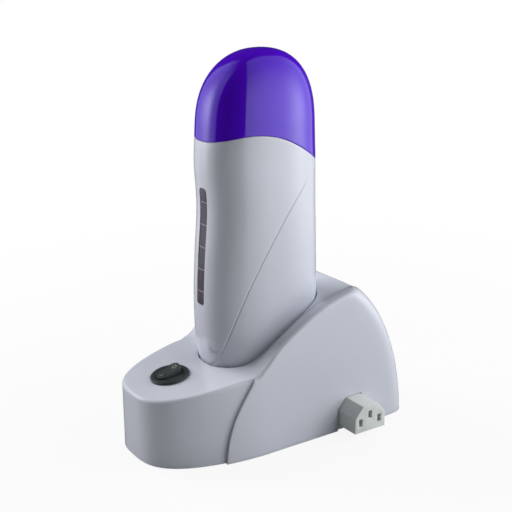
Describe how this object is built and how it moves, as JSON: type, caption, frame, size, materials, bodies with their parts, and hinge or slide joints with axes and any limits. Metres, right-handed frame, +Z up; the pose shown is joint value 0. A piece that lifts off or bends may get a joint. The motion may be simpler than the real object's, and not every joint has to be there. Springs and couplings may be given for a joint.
{
  "type": "roll on wax heater",
  "caption": "Hand-held roll-on wax cartridge heater with a tall domed lift-off cap, standing in a broad winged mains base with a round rocker switch and a pass-through outlet.",
  "frame": {"origin": "on the table plane, at the resting rim of the base, straight below the upright axis of the hand-held heater", "axes": "+Z up; -Y the front, where the switch is; +X the side with the mains outlet; -X the side with the mains inlet"},
  "size_m": [0.1018, 0.1723, 0.2284],
  "materials": {
    "white_plastic": "glossy bluish white moulding",
    "white_inner": "fine textured white moulding",
    "purple_plastic": "deep glossy violet",
    "black_plastic": "satin black moulding",
    "smoked_plastic": "smoked clear moulding",
    "amber_plastic": "frosted clear lens",
    "grey_plastic": "light grey insulating moulding",
    "steel": "bright zinc-plated steel",
    "brass": "tinned brass contact",
    "aluminium": "drawn aluminium",
    "rubber": "soft black rubber",
    "mica": "mica-faced heating element",
    "brown_wire": "brown sleeving",
    "blue_wire": "blue sleeving",
    "green_wire": "green sleeving"
  },
  "bodies": {
    "base": {"base_housing": "white_plastic", "rear_cowl": "white_plastic", "bottom_plate": "white_inner", "rubber_feet": "rubber", "bottom_screws": "steel", "outlet_body": "grey_plastic", "outlet_sleeves": "brass", "inlet_body": "grey_plastic", "inlet_pins": "brass", "switch_frame": "black_plastic", "switch_terminals": "brass", "cradle_plug": "black_plastic", "cradle_sleeves": "brass", "live_link_wire": "brown_wire", "neutral_link_wire": "blue_wire", "earth_link_wire": "green_wire", "switch_live_wire": "brown_wire", "switched_wire": "brown_wire", "plug_neutral_wire": "blue_wire"},
    "rocker": {"switch_rocker": "black_plastic", "switch_plunger": "brass"},
    "contact": {"switch_contact": "brass"},
    "heater": {"shell_left": "white_plastic", "shell_right": "white_plastic", "shell_screws": "steel", "window_lens": "smoked_plastic", "pilot_lens": "amber_plastic", "pilot_lamp": "amber_plastic", "pilot_resistor": "grey_plastic", "neck_collar": "white_inner", "cartridge_sleeve": "aluminium", "heating_pad": "mica", "pad_clamp": "steel", "thermostat": "black_plastic", "thermostat_bracket": "steel", "thermal_fuse": "steel", "heater_inlet": "black_plastic", "heater_pins": "brass", "heater_live_wire": "brown_wire", "heater_neutral_wire": "blue_wire"},
    "cap": {"cap": "purple_plastic"}
  },
  "joints": [
    {"name": "heater_lift", "type": "slide", "parent": "base", "child": "heater", "axis": [0, 0, 1], "range_m": [0, 0.08]},
    {"name": "cap_lift", "type": "slide", "parent": "heater", "child": "cap", "axis": [0, 0, 1], "range_m": [0, 0.07]},
    {"name": "rocker_rock", "type": "hinge", "parent": "base", "child": "rocker", "pos_m": [0, -0.05951, 0.0441], "axis": [1, 0, 0], "range_deg": [-26, 0]},
    {"name": "contact_rock", "type": "hinge", "parent": "base", "child": "contact", "pos_m": [0, -0.05801, 0.03391], "axis": [1, 0, 0], "range_deg": [0, 13]}
  ],
  "couplings": [
    {"joint": "contact_rock", "follows": "rocker_rock", "ratio": -0.5}
  ]
}
